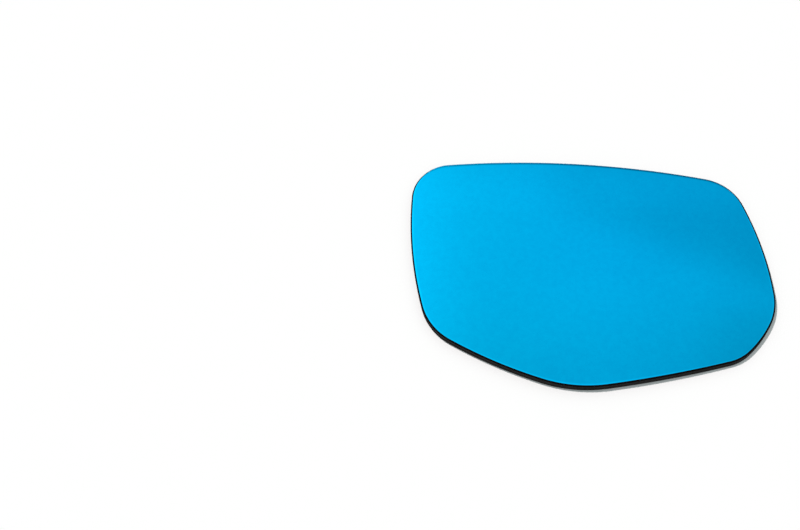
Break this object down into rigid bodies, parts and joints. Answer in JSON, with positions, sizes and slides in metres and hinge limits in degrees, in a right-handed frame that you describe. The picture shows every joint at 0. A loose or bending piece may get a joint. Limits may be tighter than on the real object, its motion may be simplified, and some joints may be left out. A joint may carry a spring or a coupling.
{
  "type": "car door mirror glass",
  "caption": "Convex blue-tinted car door mirror glass with a rounded, tapering outline, bonded to a black backing plate with a clip ring for the mirror motor.",
  "frame": {"origin": "middle of the clip ring, on the plane of the ring's foot", "axes": "+Z out of the mirror face, +X along the glass towards its outer end, +Y towards its top edge"},
  "size_m": [0.1802, 0.125, 0.0087],
  "materials": {
    "mirror_glass": "blue-tinted mirror, polished, with a dull ground edge",
    "adhesive_pad": "matt foam tape",
    "backing_plate": "black moulded plastic with a fine grain"
  },
  "bodies": {
    "root": {"mirror_glass": "mirror_glass", "adhesive_pad": "adhesive_pad", "backing_plate": "backing_plate"}
  },
  "joints": []
}
